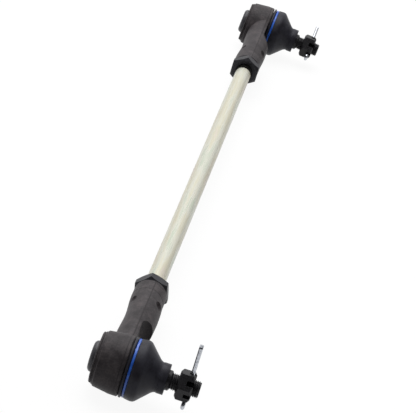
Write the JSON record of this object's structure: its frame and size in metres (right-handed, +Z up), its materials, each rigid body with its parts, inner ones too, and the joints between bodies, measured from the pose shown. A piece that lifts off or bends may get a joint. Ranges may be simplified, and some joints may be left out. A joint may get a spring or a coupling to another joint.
{
  "type": "steering center link",
  "caption": "Adjustable steering link: a plated round rod with forged ball joint ends, rubber boots, slotted nuts and split pins.",
  "frame": {"origin": "the middle of the rod's axis, halfway between the two ball centres", "axes": "+X along the rod to the right end, +Y along the right ball stud towards its nut, +Z up as the link lies on the sides of its drums; the left end is clocked 4.6 degrees about the rod"},
  "size_m": [0.7091, 0.0775, 0.0523],
  "materials": {
    "yellow_zinc": "zinc plated with a yellow passivate, satin",
    "forged_black": "phosphated black forging, matte",
    "cap_black": "phosphated black pressed steel",
    "acetal": "natural acetal",
    "spring_steel": "oiled spring steel",
    "boot_rubber": "moulded rubber, satin",
    "blue_plastic": "moulded blue plastic",
    "black_oxide": "phosphated dark steel, oiled",
    "nut_black": "black oxide",
    "jam_nut_black": "black oxide",
    "bright_zinc": "bright zinc plated wire"
  },
  "bodies": {
    "center_rod": {"rod": "yellow_zinc"},
    "right_end": {"right_housing": "forged_black", "right_ball_seat": "acetal", "right_pressure_plate": "acetal", "right_preload_spring": "spring_steel", "right_end_cap": "cap_black", "right_boot_ring": "blue_plastic", "right_jam_nut": "jam_nut_black"},
    "right_boot_body": {"right_boot": "boot_rubber"},
    "right_neck_body": {"right_boot_neck_ring": "spring_steel"},
    "right_stud_body": {"right_ball_stud": "black_oxide", "right_castle_nut": "nut_black", "right_cotter_pin": "bright_zinc"},
    "left_end": {"left_housing": "forged_black", "left_ball_seat": "acetal", "left_pressure_plate": "acetal", "left_preload_spring": "spring_steel", "left_end_cap": "cap_black", "left_boot_ring": "blue_plastic", "left_jam_nut": "jam_nut_black"},
    "left_boot_body": {"left_boot": "boot_rubber"},
    "left_neck_body": {"left_boot_neck_ring": "spring_steel"},
    "left_stud_body": {"left_ball_stud": "black_oxide", "left_castle_nut": "nut_black", "left_cotter_pin": "bright_zinc"}
  },
  "joints": [
    {"name": "right_adjust", "type": "slide", "parent": "center_rod", "child": "right_end", "axis": [1, 0, 0], "range_m": [0, 0.01]},
    {"name": "right_stud_swivel", "type": "hinge", "parent": "right_end", "child": "right_boot_body", "pos_m": [0.3295, 0, 0], "axis": [0, 1, 0], "continuous": true},
    {"name": "right_stud_tilt", "type": "hinge", "parent": "right_boot_body", "child": "right_neck_body", "pos_m": [0.3295, 0, 0], "axis": [1, 0, 0], "range_deg": [-20, 20], "deforming": ["right_boot"]},
    {"name": "right_stud_turn", "type": "hinge", "parent": "right_neck_body", "child": "right_stud_body", "pos_m": [0.3295, 0, 0], "axis": [0, 1, 0], "continuous": true},
    {"name": "left_adjust", "type": "slide", "parent": "center_rod", "child": "left_end", "axis": [-1, 0, 0], "range_m": [0, 0.01]},
    {"name": "left_stud_swivel", "type": "hinge", "parent": "left_end", "child": "left_boot_body", "pos_m": [-0.3295, 0, 0], "axis": [0, 0.9968, -0.0802], "continuous": true},
    {"name": "left_stud_tilt", "type": "hinge", "parent": "left_boot_body", "child": "left_neck_body", "pos_m": [-0.3295, 0, 0], "axis": [1, 0, 0], "range_deg": [-20, 20], "deforming": ["left_boot"]},
    {"name": "left_stud_turn", "type": "hinge", "parent": "left_neck_body", "child": "left_stud_body", "pos_m": [-0.3295, 0, 0], "axis": [0, 0.9968, -0.0802], "continuous": true}
  ],
  "couplings": [
    {"joint": "left_adjust", "follows": "right_adjust", "ratio": 1}
  ]
}
